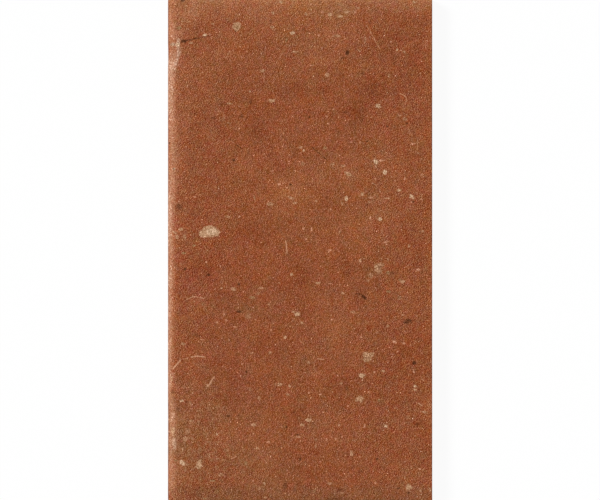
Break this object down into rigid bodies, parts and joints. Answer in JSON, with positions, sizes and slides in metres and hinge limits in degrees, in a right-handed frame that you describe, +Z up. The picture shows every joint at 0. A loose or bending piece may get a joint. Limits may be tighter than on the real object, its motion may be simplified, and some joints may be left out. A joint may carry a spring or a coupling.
{
  "type": "floor tile",
  "caption": "Rectangular fired-clay floor tile with a speckled red-brown face, one rounded long edge, one cut long edge and a keyed back for bedding mortar.",
  "frame": {"origin": "middle of the keyed back, which is the plane the tile lies on", "axes": "+X from the rounded long edge to the cut long edge, +Y along the length, +Z up out of the wearing face"},
  "size_m": [0.158, 0.3, 0.011],
  "materials": {
    "fired_clay": "satin"
  },
  "bodies": {
    "root": {"tile_body": "fired_clay"}
  },
  "joints": []
}
